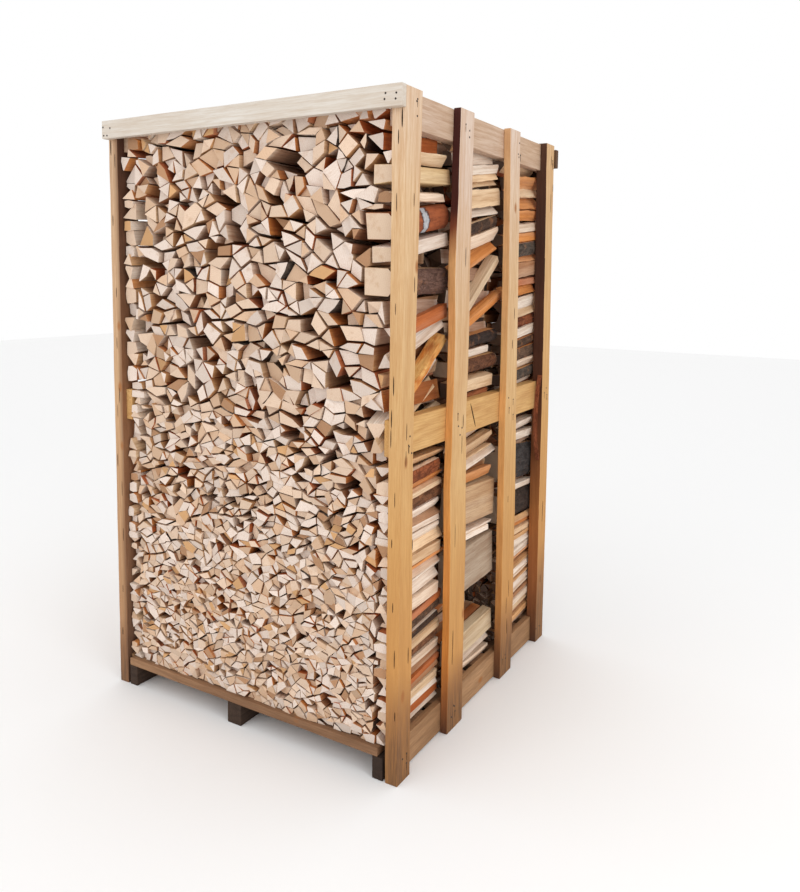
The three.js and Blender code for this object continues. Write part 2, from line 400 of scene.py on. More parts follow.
# %% The front left post, with painted shade
# Darker zones than the other posts': painted shade.
PAINTED_SHADE_POST_ZONES = [(0.0, shade(92, 68, 50)), (0.06, shade(118, 86, 62)), (0.12, shade(176, 136, 100)),
              (0.5, shade(206, 168, 128)), (0.8, shade(208, 176, 142)), (1.0, shade(206, 178, 150))]
ARRIS_PAINTED_SHADE = (-0.546, -0.530)  # from left to right, in metres from the crate's middle


def post_with_painted_shade(finish, place):
    ground = by_height(PAINTED_SHADE_POST_ZONES)(finish, place)
    sideways = finish.node("SeparateXYZ", {}, Vector=finish.place()).outputs["X"]
    waver = finish.sum("MULTIPLY", finish.noise(finish.squeeze(place, (8, 8, 3)), 1.0, 3), 0.016)
    nearing = finish.node("MapRange", {}, Value=finish.sum("ADD", sideways, waver),
                          From_Min=ARRIS_PAINTED_SHADE[0], From_Max=ARRIS_PAINTED_SHADE[1]).outputs["Result"]
    # Painted shade: the inner arris turns dark brown.
    return finish.mix(finish.ramp(nearing, [(0.0, 0.0), (1.0, 0.75)]), ground, shade(92, 62, 44))


POST_IN_PAINTED_SHADE = sawn_timber("post_timber_painted_shade", "Z", post_with_painted_shade, shade(160, 114, 76))

# %% [markdown]
# ### Split wood
#
# A split has three kinds of surface: two sawn ends, torn sides, and on some a side with bark. Every
# split brings its own ground colours in the attributes `end_tint`, `tint` and `bark_tint`, and its
# own rings in `grain`, a place measured from the heart of the log that it was split from.
#
# The ends are sawn across the fibres: pale, matt, with faint arcs of growth rings and fine saw marks.
# The rings are circles round the heart, so the distance from it, folded back and forth, draws them.
# The ends that face the next row get painted shade, a dark brown for the shade between the rows.


# %% Sawn ends
RINGS_PER_METRE = 330


def sawn_end(name):
    finish = Finish(name)
    grain = finish.attribute("grain", "Vector")
    tint = finish.attribute("end_tint", "Color")
    flat = finish.squeeze(grain, (1, 0.02, 1))
    radius = finish.node("VectorMath", {"operation": "LENGTH"}, Vector=flat).outputs["Value"]
    wobble = finish.sum("MULTIPLY", finish.noise(flat, 18, 2), 0.006)
    counted = finish.sum("MULTIPLY", finish.sum("ADD", radius, wobble), RINGS_PER_METRE)
    rings = finish.sum("PINGPONG", counted, 1.0)
    fuzz = finish.noise(grain, 420, 3, 0.65)
    stains = finish.noise(grain, 34, 3, 0.6)
    colour = finish.mix(finish.sum("MULTIPLY", rings, 0.14), tint, shade(190, 152, 116))
    colour = finish.mix(finish.ramp(fuzz, [(0.36, 0.3), (0.56, 0.0)]), colour, shade(186, 150, 116))
    colour = finish.mix(finish.ramp(stains, [(0.58, 0.0), (0.8, 0.5)]), colour, shade(180, 138, 100))
    # Painted shade: the ends that face another row are made dark brown.
    colour = finish.mix(finish.sum("MULTIPLY", finish.attribute("shut_end_shade"), 0.85), colour, shade(84, 56, 38))
    saw = finish.node("TexWave", {"bands_direction": "DIAGONAL"}, Vector=grain, Scale=160,
                      Distortion=2.0).outputs["Fac"]
    normal = finish.bump(fuzz, 0.5, 0.0012)
    normal = finish.bump(saw, 0.12, 0.0006, normal)
    return finish.done(colour, 0.88, normal)


# %% [markdown]
# The sides are torn along the fibres, so they are warmer, streaked and ribbed from end to end. Three
# noises, each stretched along the grain, give broad bands, ribs and fibres. Inside the stack, away
# from the ends, the sides get painted shade: a darker brown that stands for the shade deep between
# the splits, where an attribute marks them.


# %% Torn sides
def torn_side(name):
    finish = Finish(name)
    grain = finish.attribute("grain", "Vector")
    tint = finish.attribute("tint", "Color")
    fibres = finish.noise(finish.squeeze(grain, (1, 0.035, 1)), 330, 4, 0.7)
    ribs = finish.noise(finish.squeeze(grain, (1, 0.05, 1)), 60, 3, 0.6, 0.4)
    bands = finish.noise(finish.squeeze(grain, (1, 0.12, 1)), 14, 2)
    dark = finish.mix(1.0, tint, (0.52, 0.36, 0.24), "MULTIPLY")
    light = finish.mix(0.35, tint, shade(236, 222, 200))
    colour = finish.mix(finish.ramp(ribs, [(0.34, 0.6), (0.58, 0.0)]), tint, dark)
    colour = finish.mix(finish.ramp(bands, [(0.45, 0.0), (0.7, 0.6)]), colour, light)
    colour = finish.mix(finish.ramp(fibres, [(0.3, 0.5), (0.55, 0.0)]), colour, dark)
    # Painted shade: the sides of splits inside the stack turn darker brown away from their ends.
    crevice_shade = finish.ramp(finish.attribute("crevice_shade"), [(0.0, 0.0), (0.06, 0.35), (0.3, 0.8)])
    colour = finish.mix(crevice_shade, colour, finish.mix(1.0, colour, (0.42, 0.26, 0.18), "MULTIPLY"))
    normal = finish.bump(ribs, 0.7, 0.004)
    normal = finish.bump(fibres, 0.5, 0.0015, normal)
    return finish.done(colour, 0.8, normal)


# %% [markdown]
# Bark is ridged along the log and breaks into plates. Stretched noise makes the ridges, the edges of
# stretched cells make the cracks between plates, and patches show where the outer layer is gone.


# %% Bark
def bark(name):
    finish = Finish(name)
    grain = finish.attribute("grain", "Vector")
    tint = finish.attribute("bark_tint", "Color")
    plates = finish.cells(finish.squeeze(grain, (1, 0.4, 1)), 95, "DISTANCE_TO_EDGE")
    ridges = finish.noise(finish.squeeze(grain, (1, 0.3, 1)), 70, 5, 0.65, 0.6)
    patches = finish.noise(grain, 26, 4, 0.6)
    dark = finish.mix(1.0, tint, (0.28, 0.24, 0.22), "MULTIPLY")
    colour = finish.mix(finish.ramp(ridges, [(0.35, 0.85), (0.6, 0.0)]), tint, dark)
    colour = finish.mix(finish.ramp(plates, [(0.0, 0.7), (0.08, 0.0)]), colour, dark)
    colour = finish.mix(finish.ramp(patches, [(0.56, 0.0), (0.72, 0.5)]), colour, shade(168, 112, 72))
    normal = finish.bump(ridges, 0.9, 0.006)
    normal = finish.bump(plates, 0.4, 0.003, normal)
    return finish.done(colour, 0.92, normal)


END, SIDE, BARK = sawn_end("sawn_end"), torn_side("torn_side"), bark("bark")
print("3 split wood finishes")

# %% [markdown]
# ## Timbers of the crate
#
# Each timber starts as a copy of its solid in the frame, so that it keeps its size and its notches.
# First come the helpers that every piece here goes through: one that makes a bmesh a named piece on
# the crate, and one that stores a value per corner for a finish to read.


# %% Piece helpers
def make_piece(name, bm, finishes, slot, nodes=()):
    """Turns a bmesh into a named piece that rides on the crate and stands for some of its nodes."""
    mesh = bpy.data.meshes.new(name)
    bm.to_mesh(mesh)
    bm.free()
    for finish in finishes:
        mesh.materials.append(finish)
    piece = bpy.data.objects.new(name, mesh)
    scene.collection.objects.link(piece)
    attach(piece, "root")
    if nodes:
        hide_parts(*nodes)
    return piece


def write_attribute(mesh, name, kind, values):
    """Stores one value per vertex under a name that a finish can read."""
    made = mesh.attributes.new(name, kind, "POINT")
    field = {"FLOAT": "value", "FLOAT_VECTOR": "vector", "FLOAT_COLOR": "color"}[kind]
    made.data.foreach_set(field, np.asarray(values, np.float32).ravel())


def corners_of(mesh):
    """The places of a mesh's corners, one row for each."""
    co = np.zeros(len(mesh.vertices) * 3)
    mesh.vertices.foreach_get("co", co)
    return co.reshape(-1, 3)


def tint_whole(mesh, **colours):
    """Stores one colour for the whole mesh under each name."""
    for name, colour in colours.items():
        write_attribute(mesh, name, "FLOAT_COLOR", np.tile((*colour, 1), (len(mesh.vertices), 1)))


# %% [markdown]
# Then come three tools for the bench. A frame solid is loose triangles, so a copy of it is merged and
# its flat faces are made whole before anything else. Arrises are taken off with a bevel. A bisecting
# cut adds corners along a long face without changing its shape.


# %% Bench tools
def solid_of(node):
    """A merged copy of a frame node, with its flat faces whole again."""
    bm = bmesh.new()
    bm.from_mesh(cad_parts[node].data)
    bmesh.ops.remove_doubles(bm, verts=bm.verts, dist=1e-5)
    bmesh.ops.dissolve_limit(bm, angle_limit=math.radians(0.1), verts=bm.verts, edges=bm.edges)
    return bm


def round_arrises(bm, least_angle, width, segments):
    """Bevels the edges where two faces meet at more than an angle in degrees."""
    arrises = [e for e in bm.edges if e.calc_face_angle(0) > math.radians(least_angle)]
    bmesh.ops.bevel(bm, geom=arrises, offset=width, segments=segments, profile=0.5, affect="EDGES",
                    material=-1, clamp_overlap=True)


def cut_across(bm, place, normal):
    bmesh.ops.bisect_plane(bm, geom=bm.verts[:] + bm.edges[:] + bm.faces[:], plane_co=place,
                           plane_no=normal, dist=1e-5)


# %% [markdown]
# A sawn timber gets what its plain solid lacks: arrises worn round, and faces that wander by a
# fraction of a millimetre from cut to cut. Corners on the outside of the solid wander the least, so
# the timber keeps its size. Where it has a waney edge, or a side with painted shade, the faces on
# that side get the second finish.


# %% A worn timber
CUT_STEP = 0.045                  # between the cuts that let a long face wander
WEAR = 0.0022                     # how far an arris is rounded
WANDER = 0.0011


def ripple_at(place):
    """Long waves, and half as much of short ones."""
    return Vector(noise.noise_vector(place * 9.0)) + Vector(noise.noise_vector(place * 40.0)) * 0.5


def worn_timber(node, finish, slot, rng, age=0.0, edge=None):
    low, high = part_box(node)
    size = high - low
    axis = max(range(3), key=lambda i: size[i])
    bm = solid_of(node)
    round_arrises(bm, 30, WEAR, 2)
    normal = Vector([float(i == axis) for i in range(3)])
    for step in range(1, int(size[axis] / CUT_STEP)):
        cut_across(bm, low + normal * (step * CUT_STEP + rng.uniform(-0.2, 0.2) * CUT_STEP), normal)
    lot = Vector(rng.uniform(-5, 5, 3))
    for vert in bm.verts:
        ripple = ripple_at(vert.co + lot)
        ripple[axis] = 0
        inside = [min(vert.co[i] - low[i], high[i] - vert.co[i]) for i in range(3)]
        vert.co += ripple * WANDER * (0.3 if min(inside) < 1e-4 else 1.0)
    if edge is not None:
        bm.normal_update()
        for face in bm.faces:
            face.material_index = 1 if face.normal.dot(Vector(BARK_EDGE_AND_SHADE_SIDES[edge])) > 0.6 else 0
    finishes = [finish, BARK_EDGES_AND_SHADE[edge]] if edge is not None else [finish]
    piece = make_piece(node + "_timber", bm, finishes, slot, [node])
    count = len(piece.data.vertices)
    write_attribute(piece.data, "lot", "FLOAT_VECTOR", np.tile(np.array(lot), (count, 1)))
    write_attribute(piece.data, "age", "FLOAT", np.full(count, age))
    return piece


# %% [markdown]
# Posts, rails and boards are made in a loop each. The ages shift the posts' colour zones up or down.
# The ripples come from a noise that has a seed of its own, which is set here too, because it would
# otherwise be different on every run.

# %% Make every timber
rng = np.random.default_rng(11)
noise.seed_set(11)
POST_AGES = {"front_right": -0.1, "second_right": 0.12, "third_right": 0.0, "back_right": -0.3,
             "front_left": 0.0, "second_left": 0.0, "third_left": 0.05, "back_left": -0.1}
timbers = []
for label, age in POST_AGES.items():
    edge = label if label in BARK_EDGES_AND_SHADE else label.split("_")[0]
    timber = POST_IN_PAINTED_SHADE if label == "front_left" else POST
    timbers.append(worn_timber("post_" + label, timber, "post", rng, age, edge if edge in BARK_EDGES_AND_SHADE else None))
for side in ("left", "right"):
    timbers.append(worn_timber("rail_top_" + side, RAIL, "rail", rng))
    timbers.append(worn_timber("rail_middle_" + side, RAIL_GOLDEN, "rail", rng))
    timbers.append(worn_timber("rail_base_" + side, BASE, "base", rng))
timbers.append(worn_timber("beam_front", BEAM, "beam", rng))
timbers.append(worn_timber("beam_back", DARK_BEAM, "base", rng))
for name in ("skid_left", "skid_middle", "skid_right"):
    timbers.append(worn_timber(name, SKID, "skid", rng))
for name in sorted(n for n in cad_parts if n.startswith("deck_board")):
    timbers.append(worn_timber(name, DECK, "base", rng))
print(len(timbers), "timbers with", sum(len(t.data.polygons) for t in timbers), "faces")

# %% [markdown]
# ## Nails and drying cracks
#
# Each post is nailed to each rail with three or four nails, not in a neat pattern, and the beams are
# nailed to the corner posts. The heads are small and dark, with a stain below some of them. Sawn
# posts that dry in the open also crack along the grain: short black slits, widest in the middle.
# Both are flat studs, half sunk in the wood.


# %% A stud
def stud(bm, place, outward, half_width, half_length, proud, upward=(0, 0, 1), segments=8):
    """A flat plate on a face of the crate, with its middle at the place."""
    outward = Vector(outward)
    upward = Vector(upward).normalized()
    sideways = upward.cross(outward)
    turn = Matrix((sideways * half_width, upward * half_length, outward)).transposed().to_4x4()
    bmesh.ops.create_cone(bm, cap_ends=True, segments=segments, radius1=1.0, radius2=0.8, depth=2 * proud,
                          matrix=Matrix.Translation(place) @ turn)


# %% Finishes of nails and cracks
def flat_finish(name, colour, roughness, metallic=0.0):
    """One colour with some grime on it."""
    finish = Finish(name)
    finish.shader.inputs["Metallic"].default_value = metallic
    grime = finish.noise(finish.place(), 300, 2)
    grimy = finish.mix(grime, colour, tuple(c * 0.6 for c in colour))
    finish.feed(finish.shader.inputs["Base Color"], grimy)
    finish.shader.inputs["Roughness"].default_value = roughness
    return finish.material


NAIL = flat_finish("nail_head", shade(62, 54, 50), 0.5, 0.7)
CRACK = flat_finish("crack", shade(44, 24, 14), 1.0)

# %% [markdown]
# The outer faces of the posts get their nails at each rail, some with a stain below, and six cracks
# each. The front posts also have cracks all the way up their front faces.

# %% Nails and cracks on the posts
NAIL_HEAD = (0.0032, 0.0034, 0.0009)          # half width, half height, how far it stands proud
CRACK_LEVELS = (1.79, 1.62, 1.34, 1.17, 1.05, 0.98, 0.84, 0.73, 0.55, 0.34, 0.2)
rng = np.random.default_rng(23)
nails, cracks = bmesh.new(), bmesh.new()
for side, turn in (("right", 1), ("left", -1)):
    outward = (turn, 0, 0)
    for post in ("front", "second", "third", "back"):
        low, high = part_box(f"post_{post}_{side}")
        face_x = high.x if turn > 0 else low.x
        middle_y = (low.y + high.y) / 2
        for level in ("base", "middle", "top"):
            a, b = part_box(f"rail_{level}_{side}")
            top = min(b.z, high.z) - 0.02
            for k in range(rng.integers(3, 5)):
                y = middle_y + rng.uniform(-0.026, 0.026)
                z = rng.uniform(max(a.z, 0.03) + 0.01, top)
                stud(nails, Vector((face_x, y, z)), outward, *NAIL_HEAD)
                if rng.random() < 0.4:
                    stud(cracks, Vector((face_x, y, z - 0.012)), outward, 0.0012, 0.012, 0.0004)
        for k in range(6):
            y = middle_y + rng.uniform(-0.024, 0.024)
            place = Vector((face_x, y, rng.uniform(0.15, 1.9)))
            width = rng.uniform(0.0009, 0.0018)
            stud(cracks, place, outward, width, rng.uniform(0.014, 0.045), 0.0006)
    low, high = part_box(f"post_front_{side}")
    stud(cracks, Vector((turn * 0.566, low.y, 1.862)), FORWARD, 0.0024, 0.03, 0.0007)
    for z in CRACK_LEVELS:
        x = rng.uniform(low.x + 0.006, high.x - 0.006)
        place = Vector((x, low.y, z + rng.uniform(-0.05, 0.05)))
        width = rng.uniform(0.0009, 0.0017)
        stud(cracks, place, FORWARD, width, rng.uniform(0.014, 0.034), 0.0006)

# %% [markdown]
# The beams' nails are few and in plain sight, so each has its own place. The right middle rail has
# one wide crack that runs at a slant.

# %% Nails in the beams, and the wide crack
BEAM_NAIL = (0.0034, 0.0034, 0.0009)
FRONT_NAILS = [(0.526, 1.909), (0.529, 1.924), (0.560, 1.907), (0.562, 1.922),
               (-0.572, 1.926), (-0.553, 1.898), (-0.538, 1.921), (-0.569, 1.899)]
BACK_NAILS = [(0.54, 1.88), (0.556, 1.915), (-0.545, 1.882), (-0.56, 1.912)]
for x, z in FRONT_NAILS:
    stud(nails, Vector((x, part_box("beam_front")[0].y, z)), FORWARD, *BEAM_NAIL)
for x, z in BACK_NAILS:
    stud(nails, Vector((x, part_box("beam_back")[1].y, z)), BACKWARD, *BEAM_NAIL)
low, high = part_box("rail_middle_right")
stud(cracks, Vector((high.x, -0.058, (low.z + high.z) / 2)), RIGHTWARD, 0.0032, 0.055, 0.0008,
     upward=(0, -0.45, 0.9))
print(len(nails.faces) + len(cracks.faces), "faces on nails and cracks")
make_piece("nail_heads", nails, [NAIL], "post")
make_piece("drying_cracks", cracks, [CRACK], "post")

# %% [markdown]
# ## The stack
#
# A row of split wood seen from the front is a mosaic. The splits are wedges and odd four-sided
# billets, turned every way, and whoever stacks them fits each one to its neighbours until little
# room is left. So the program draws that mosaic first. It scatters points over the row's
# cross-section, joins them to triangles, and melts some neighbouring triangles into four- and
# five-sided pieces. Where the wood is finer the points are closer, and where the kindling lies flat
# the mosaic is squeezed in height.

# %% The room, and how coarse and how flat the wood is at each height
deck_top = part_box("deck_board_2")[1].z / MM
stack_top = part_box("firewood_front_upper")[1].z / MM
half_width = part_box("firewood_front_lower")[1].x / MM
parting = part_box("firewood_front_lower")[1].z
LEVELS = [90, 300, 620, 900, 1000, 1080, 1500, 1900]          # millimetres above the ground
PIECE_SIZE = [34, 38, 44, 49, 54, 63, 66, 66]                 # between the mosaic's points
FLATNESS = [1.35, 1.4, 1.45, 1.4, 1.3, 1.15, 1.1, 1.1]
print("the stack is", round(2 * half_width), "mm wide and", round(stack_top - deck_top), "mm tall")

level_line = np.arange(0.0, 2000.0, 1.0)
squeezed_line = np.concatenate([[0], np.cumsum(np.interp(level_line[:-1], LEVELS, FLATNESS))])


def squeeze_level(z):
    """The height that a level has in the squeezed mosaic."""
    return np.interp(z, level_line, squeezed_line)


def release_level(z):
    return np.interp(z, squeezed_line, level_line)


# %% [markdown]
# The mosaic's edge follows the room that the crate leaves: the deck below, the walls, which step in
# beside the rails, and the odd pieces in the right wall. Along the walls the points go in and out a
# little, so the splits there don't end up flush like planks.


# %% The edge of a row's room
def reach_at(z, half_width, steps):
    """How far out the room reaches at a height. steps lists (low, high, reach) of what stands in it."""
    return min([half_width] + [reach for low, high, reach in steps if low <= z <= high])


def wall_line(rng, side, low, high, half_width, steps):
    """Points up one wall, from low to high."""
    levels = np.arange(low, high + 0.5, 1.0)
    reach = np.array([reach_at(z, half_width, steps) for z in levels])
    corners = [(reach[0], low)]                   # where the wall steps in or out
    for i in range(1, len(levels)):
        if reach[i] != reach[i - 1]:
            corners += [(reach[i - 1], levels[i - 1]), (reach[i], levels[i])]
    corners.append((reach[-1], high))
    line = []
    for (x0, z0), (x1, z1) in zip(corners, corners[1:]):
        length = math.hypot(x1 - x0, z1 - z0)
        size = np.interp(z0, LEVELS, PIECE_SIZE)
        cuts = max(1, int(round(length / size * rng.uniform(0.9, 1.5))))
        shares = (np.arange(cuts) + rng.uniform(-0.3, 0.3, cuts)) / cuts
        shares[0] = 0
        for share in shares:
            x = x0 + (x1 - x0) * share
            z = z0 + (z1 - z0) * share
            at_step = share == 0 and length < 3
            inward = 0 if at_step else min(abs(rng.normal(0, 0.16)), 0.4) * size
            line.append((side * (x - inward), z))
    line.append((side * corners[-1][0], high))
    return line


def room_loop(rng, low, high, half_width, left_steps, right_steps):
    """The closed edge of a row's room, anticlockwise from the bottom left."""
    right_wall = wall_line(rng, 1, low, high, half_width, right_steps)
    left_wall = wall_line(rng, -1, low, high, half_width, left_steps)
    bottom = []
    x = left_wall[0][0] + 20
    while x < right_wall[0][0] - 18:
        bottom.append((x, low))
        x += rng.uniform(20, 46)
    top = []
    x = right_wall[-1][0] - 40
    while x > left_wall[-1][0] + 30:
        top.append((x, high - rng.uniform(0, 5)))
        x -= rng.uniform(34, 78)
    return bottom + right_wall + top + left_wall[::-1]


def inside_loop(points, loop):
    """Which of the points lie inside a closed line."""
    inside = np.zeros(len(points), bool)
    for (x0, z0), (x1, z1) in zip(loop, np.roll(loop, -1, 0)):
        crosses = (z0 > points[:, 1]) != (z1 > points[:, 1])
        with np.errstate(divide="ignore", invalid="ignore"):
            at = x0 + (points[:, 1] - z0) * (x1 - x0) / (z1 - z0)
        inside ^= crosses & (points[:, 0] < at)
    return inside


# %% [markdown]
# Points are thrown at random and kept if they aren't too close to one that is there already. The
# distance that they keep is well below the average one, so the mosaic has plump pieces as well as
# slim ones.


# %% Scatter points and join them
KEEP_APART = 0.62                 # of the local size
THROWS = 26000
ROOM_FOR = 4000                   # points


def scatter(rng, loop, low, high, half_width):
    """Points inside the loop, in squeezed coordinates."""
    kept = [tuple(p) for p in loop]
    taken = np.array(kept + [(0.0, 0.0)] * ROOM_FOR)
    count = len(kept)
    thrown = np.stack([rng.uniform(-half_width, half_width, THROWS), rng.uniform(low, high, THROWS)], 1)
    thrown = thrown[inside_loop(thrown, loop)]
    size = np.interp(release_level(thrown[:, 1]), LEVELS, PIECE_SIZE) * rng.uniform(0.8, 1.15, len(thrown))
    for point, apart in zip(thrown, size * KEEP_APART):
        gap = taken[:count] - point
        if (gap * gap).sum(1).min() > apart * apart:
            taken[count] = point
            count += 1
    return taken[:count]


# %% [markdown]
# Two pieces are joined at a shared edge by walking round one and then the other. These small tools
# also tell whether an outline has a dent, how large it is, and how slim.


# %% Outline tools
def rotate(loop, first):
    at = loop.index(first)
    return loop[at:] + loop[:at]


def joined(one, other):
    """Two index loops that share an edge, made one. None when they share none."""
    for a, b in zip(one, one[1:] + one[:1]):
        if a in other and b in other and other[(other.index(b) + 1) % len(other)] == a:
            return rotate(one, b) + rotate(other, a)[1:-1]
    return None


def is_convex(points, least=0.0):
    """Whether every corner turns left, by at least the sine given."""
    edge = np.roll(points, -1, 0) - points
    after = np.roll(edge, -1, 0)
    turn = edge[:, 0] * after[:, 1] - edge[:, 1] * after[:, 0]
    return np.all(turn > least * np.linalg.norm(edge, axis=1) * np.linalg.norm(after, axis=1))


def area_of(points):
    after = np.roll(points, -1, 0)
    return 0.5 * abs((points[:, 0] * after[:, 1] - points[:, 1] * after[:, 0]).sum())


def slimness(points):
    """Small for a sliver, about 0.5 for a plump piece."""
    longest = np.linalg.norm(np.roll(points, -1, 0) - points, axis=1).max()
    return area_of(points) / longest ** 2


# %% [markdown]
# Two triangles melt into one piece only if the result has no dent, as a split has none either. Slim
# leftovers melt first.


# %% Melt triangles into pieces
MELT_SHARE = (0.22, 0.04)         # of the shared edges that are tried, in the first and second round
SLIM = 0.2
LEAST_TURN = 0.12                 # sine of the turn at a corner
LARGEST = 1.25                    # area, of the local size squared


def melt(rng, corners, pieces):
    for share in MELT_SHARE:
        owners = {}
        for number, piece in pieces.items():
            for a, b in zip(piece, piece[1:] + piece[:1]):
                owners.setdefault((min(a, b), max(a, b)), []).append(number)
        shared = [pair for pair in owners.values() if len(pair) == 2]
        done = set()
        for k in rng.permutation(len(shared)):
            one, other = shared[k]
            if one in done or other in done:
                continue
            slim = min(slimness(corners[pieces[one]]), slimness(corners[pieces[other]])) < SLIM
            if not slim and rng.random() > share:
                continue
            union = joined(pieces[one], pieces[other])
            if union is None or not is_convex(corners[union], LEAST_TURN):
                continue
            x, z = corners[union].T
            if area_of(corners[union]) > LARGEST * np.interp(z.mean(), LEVELS, PIECE_SIZE) ** 2:
                continue
            pieces[one] = union
            del pieces[other]
            done |= {one, other}
    return [corners[piece] for piece in pieces.values()]


# %% [markdown]
# The points are joined to triangles in the squeezed coordinates, with the room's edge kept as it is.
# The triangles outside the room are dropped, the rest go back to real heights, and then some melt.


# %% The whole mosaic
def mosaic(rng, loop, low, high, half_width):
    """The pieces of a row's cross-section, as corner lists in millimetres."""
    loop = np.array([(x, squeeze_level(z)) for x, z in loop])
    points = scatter(rng, loop, squeeze_level(low), squeeze_level(high), half_width)
    edges = [(i, (i + 1) % len(loop)) for i in range(len(loop))]
    corners, _, triangles, *_ = delaunay_2d_cdt([Vector(p) for p in points], edges, [], 0, 1e-3)
    corners = np.array([tuple(c) for c in corners])
    middles = np.array([corners[t].mean(0) for t in triangles])
    inside = inside_loop(middles, loop)
    corners[:, 1] = release_level(corners[:, 1])
    pieces = {}
    for number, (triangle, keep) in enumerate(zip(triangles, inside)):
        if keep:
            x, z = corners[triangle].T
            turn = (x[1] - x[0]) * (z[2] - z[0]) - (z[1] - z[0]) * (x[2] - x[0])
            pieces[number] = list(triangle) if turn > 0 else list(triangle)[::-1]
    return melt(rng, corners, pieces)


# %% [markdown]
# Each piece is then pared down on all sides, which gives the gaps, and its sharp corners draw back
# the furthest, which gives the dark holes where several wedges meet. What is too small to burn is
# left out, and so are a few others, mostly small ones. Some pieces keep bark on their longest side,
# and that side bulges as a log does.


# %% Pare the pieces down
PARE = (0.6, 2.3)                 # millimetres on each side, fine wood and coarse wood
LEFT_OUT = (0.02, 0.07)           # of the pieces, fine wood and coarse wood
SMALL_OUT = (0.05, 0.3)           # of the small ones
BARKED = 0.09
SMALL, TOO_SMALL = 0.3, 0.07      # area, of the local size squared
BULGE = 0.07                      # of the barked side's length
FULL_COURSES = (130, stack_top - 60)          # heights between which a piece may be missing


def pared(points, depth):
    """The piece with every side moved inwards, or None if little is left."""
    edge = np.roll(points, -1, 0) - points
    length = np.linalg.norm(edge, axis=1)
    normal = np.stack([-edge[:, 1], edge[:, 0]], 1) / length[:, None]
    start = points + normal * depth
    result = []
    for i in range(len(points)):
        p, d = start[i - 1], edge[i - 1]
        q, e = start[i], edge[i]
        cross = d[0] * e[1] - d[1] * e[0]
        if abs(cross) < 1e-6:
            return None
        t = ((q[0] - p[0]) * e[1] - (q[1] - p[1]) * e[0]) / cross
        result.append(p + d * t)
    result = np.array(result)
    kept = np.roll(result, -1, 0) - result
    if (kept * edge).sum(1).min() <= 0 or not is_convex(result):
        return None
    return result


def turned(points, angle):
    c, s = math.cos(angle), math.sin(angle)
    return points @ np.array([[c, s], [-s, c]])


def finished_outlines(rng, pieces):
    outlines = []
    for points in pieces:
        size = np.interp(points[:, 1].mean(), LEVELS, PIECE_SIZE)
        coarse = (size - PIECE_SIZE[0]) / (PIECE_SIZE[-1] - PIECE_SIZE[0])
        small = area_of(points) < SMALL * size * size
        chance = np.interp(coarse, [0, 1], SMALL_OUT if small else LEFT_OUT)
        ready = pared(points, np.interp(coarse, [0, 1], PARE) * rng.uniform(0.5, 1.6))
        if ready is None or area_of(ready) < TOO_SMALL * size * size:
            continue
        if rng.random() < chance and FULL_COURSES[0] < points[:, 1].mean() < FULL_COURSES[1]:
            continue
        flags = [0] * len(ready)
        if rng.random() < BARKED:
            side = np.linalg.norm(np.roll(ready, -1, 0) - ready, axis=1)
            i = int(side.argmax())
            j = (i + 1) % len(ready)
            along_side = ready[j] - ready[i]
            outward = np.array([along_side[1], -along_side[0]]) / side[i]
            crown = (ready[i] + ready[j]) / 2 + outward * min(BULGE * side[i], 3.5)
            ready = np.insert(ready, i + 1, crown, axis=0)
            flags = [1 if k in (i, i + 1, (i + 2) % len(ready)) else 0 for k in range(len(ready))]
        centre = ready.mean(0)
        ready = centre + turned(ready - centre, rng.normal(0, 0.05))
        outlines.append({"points": ready, "bark": flags})
    return outlines


# %% [markdown]
# ### Against the walls
#
# The wood that shows between the posts is laid differently. There, long splits lie one on another
# like planks, none quite level, so most of them climb a little towards the back and leave wedge-shaped
# dark gaps. Each is let down until it touches what lies below, at one end or the other. The odd
# pieces of the frame lie in the same layer, and the next split rests on them.

# %% Where the odd pieces lie
HOLE_DEPTH = 62                   # millimetres, of the hole that is left above the board offcut
LAYER = [(0, 640, 41), (640, 1010, 49), (1010, 2100, 62)]     # from, to, thickness in millimetres
HALF_SPLIT = 163.0
STATIONS = np.linspace(-HALF_SPLIT, HALF_SPLIT, 9)


def lines_of(name):
    """An odd piece's underside and top at the stations, seen from the side, in millimetres."""
    low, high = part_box(name)
    bm = solid_of(name)
    middle_y = (low.y + high.y) / 2
    long_edges = sorted(bm.edges, key=lambda e: -e.calc_length())[:4]
    levels = []
    for edge in long_edges:
        a, b = sorted((v.co.copy() for v in edge.verts), key=lambda p: p.y)
        slope = (b.z - a.z) / (b.y - a.y)
        levels.append((a.z + (middle_y - a.y) * slope) / MM + STATIONS * slope)
    thickness = (high.z - low.z) / MM - abs(slope) * (high.y - low.y) / MM
    bm.free()
    middle = np.mean(levels, axis=0)
    middle += (low.z + high.z) / 2 / MM - middle[len(STATIONS) // 2]
    half = thickness / 2 * math.hypot(1, slope)
    return middle - half, middle + half


# %% [markdown]
# A split against the wall has one of four sections: a billet, a wedge with its edge up like a roof,
# a wedge with its edge down like a keel, or a thin log with bark outside. A keel fits best on a roof.


# %% Sections of the splits at the walls
KINDS = ["billet", "roof", "keel", "log"]
KIND_SHARES = [0.28, 0.34, 0.24, 0.14]
AFTER_ROOF = [0.26, 0.04, 0.6, 0.1]


